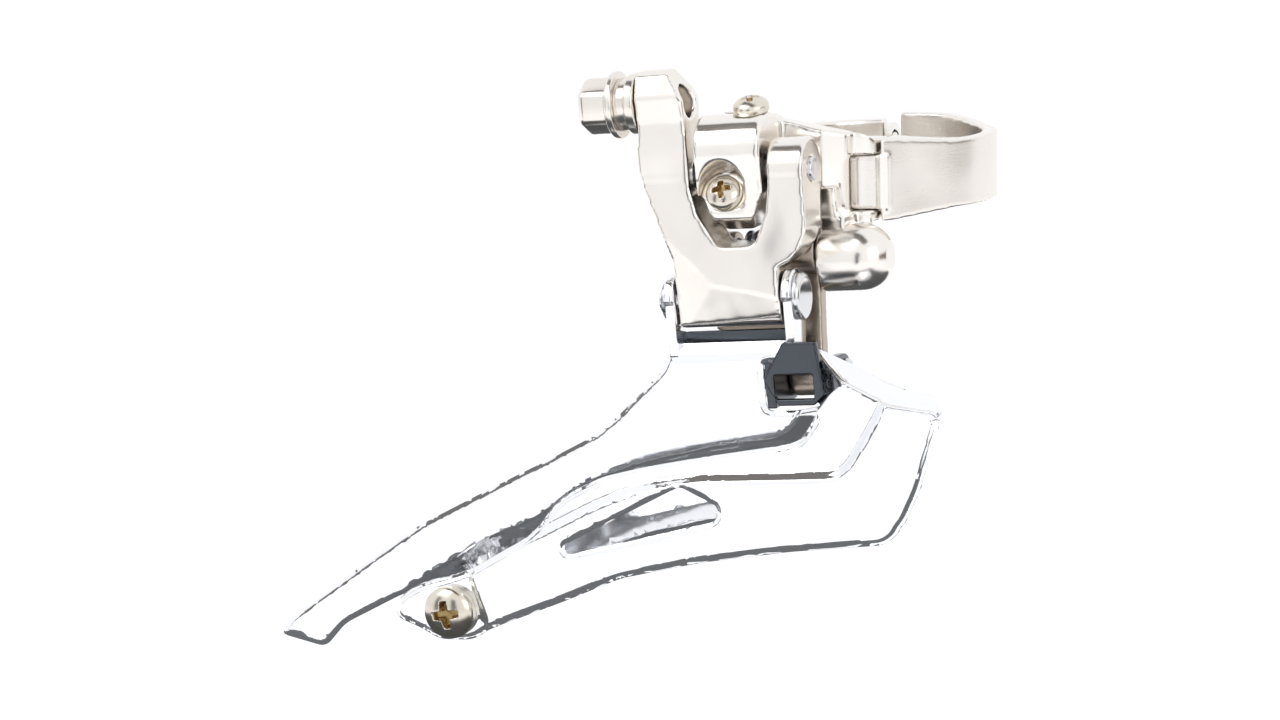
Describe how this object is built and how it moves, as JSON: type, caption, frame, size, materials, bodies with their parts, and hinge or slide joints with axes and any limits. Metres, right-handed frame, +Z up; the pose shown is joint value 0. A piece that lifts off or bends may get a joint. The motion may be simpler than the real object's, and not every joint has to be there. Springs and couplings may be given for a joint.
{
  "type": "front derailleur",
  "caption": "Clamp-on bicycle front derailleur: hinged seat-tube clamp, parallelogram links with cable arm, and a two-plate chain cage.",
  "frame": {"origin": "centre of the seat-tube clamp's bore, halfway up the band", "axes": "+Z up along the seat tube's axis, +X towards the front of the bicycle, +Y towards the bicycle's left side; the cage lies at negative Y"},
  "size_m": [0.1156, 0.0789, 0.0945],
  "materials": {
    "polished_alloy": "polished cast alloy with a warm, nickel-like tone",
    "brushed_band": "satin, brushed round the tube",
    "cage_chrome": "bright chrome on pressed steel sheet",
    "inner_link_alloy": "satin with a brownish tone",
    "bracket_steel": "dark polished steel",
    "pin_steel": "ground steel",
    "screw_nickel": "nickel-plated steel with a warm tone",
    "bolt_steel": "plated steel",
    "spring_steel": "oiled spring wire",
    "bush_polymer": "dark self-lubricating bearing polymer",
    "lock_nylon": "natural nylon"
  },
  "bodies": {
    "body": {"clamp_body": "polished_alloy", "clamp_hinge_pin": "pin_steel", "upper_outer_pin": "pin_steel", "upper_inner_pin": "pin_steel", "limit_screw_locks": "lock_nylon"},
    "band": {"clamp_band": "brushed_band"},
    "clamp_screw": {"clamp_bolt": "bolt_steel", "clamp_bolt_washer": "bolt_steel"},
    "outer_link": {"outer_link": "polished_alloy", "outer_link_bushes": "bush_polymer"},
    "inner_link": {"inner_link": "inner_link_alloy", "inner_link_bushes": "bush_polymer", "return_spring": "spring_steel"},
    "cage": {"inner_cage_plate": "cage_chrome", "outer_cage_plate": "cage_chrome", "link_bracket": "bracket_steel", "cage_rivets": "pin_steel", "tail_screw": "screw_nickel", "tail_spacer": "pin_steel", "tail_nut": "bolt_steel", "lower_outer_pin": "pin_steel", "lower_inner_pin": "pin_steel", "pin_clips": "spring_steel"},
    "high_limit_screw": {"high_limit_screw": "screw_nickel"},
    "low_limit_screw": {"low_limit_screw": "screw_nickel"},
    "cable_bolt": {"cable_bolt": "bolt_steel", "cable_washer": "bolt_steel"}
  },
  "joints": [
    {"name": "outer_link", "type": "hinge", "parent": "body", "child": "outer_link", "pos_m": [-0.01221, -0.0345, 0.00265], "axis": [-0.9976, 0, -0.0698], "range_deg": [0, 40], "stiffness_Nm_per_rad": 0.6, "springref_deg": -34.38},
    {"name": "inner_link", "type": "hinge", "parent": "body", "child": "inner_link", "pos_m": [-0.01127, -0.0285, -0.01081], "axis": [-0.9976, 0, -0.0698], "range_deg": [0, 40], "deforming": ["return_spring"]},
    {"name": "cage", "type": "hinge", "parent": "outer_link", "child": "cage", "pos_m": [-0.01089, -0.037, -0.0163], "axis": [-0.9976, 0, -0.0698], "range_deg": [-40, 0]},
    {"name": "clamp_screw", "type": "slide", "parent": "body", "child": "clamp_screw", "axis": [-1, 0, 0], "range_m": [0, 0.012]},
    {"name": "band", "type": "hinge", "parent": "body", "child": "band", "pos_m": [0.002, -0.0193, 0], "axis": [0, 0, -1], "range_deg": [0, 60]},
    {"name": "high_limit_screw", "type": "slide", "parent": "body", "child": "high_limit_screw", "axis": [-0.0677, -0.2419, 0.9679], "range_m": [0, 0.003]},
    {"name": "low_limit_screw", "type": "slide", "parent": "body", "child": "low_limit_screw", "axis": [-0.037, -0.848, 0.5286], "range_m": [0, 0.003]},
    {"name": "cable_bolt", "type": "slide", "parent": "outer_link", "child": "cable_bolt", "axis": [-0.9976, 0, -0.0698], "range_m": [0, 0.002]}
  ],
  "couplings": [
    {"joint": "inner_link", "follows": "outer_link", "ratio": 1},
    {"joint": "cage", "follows": "outer_link", "ratio": -1}
  ]
}
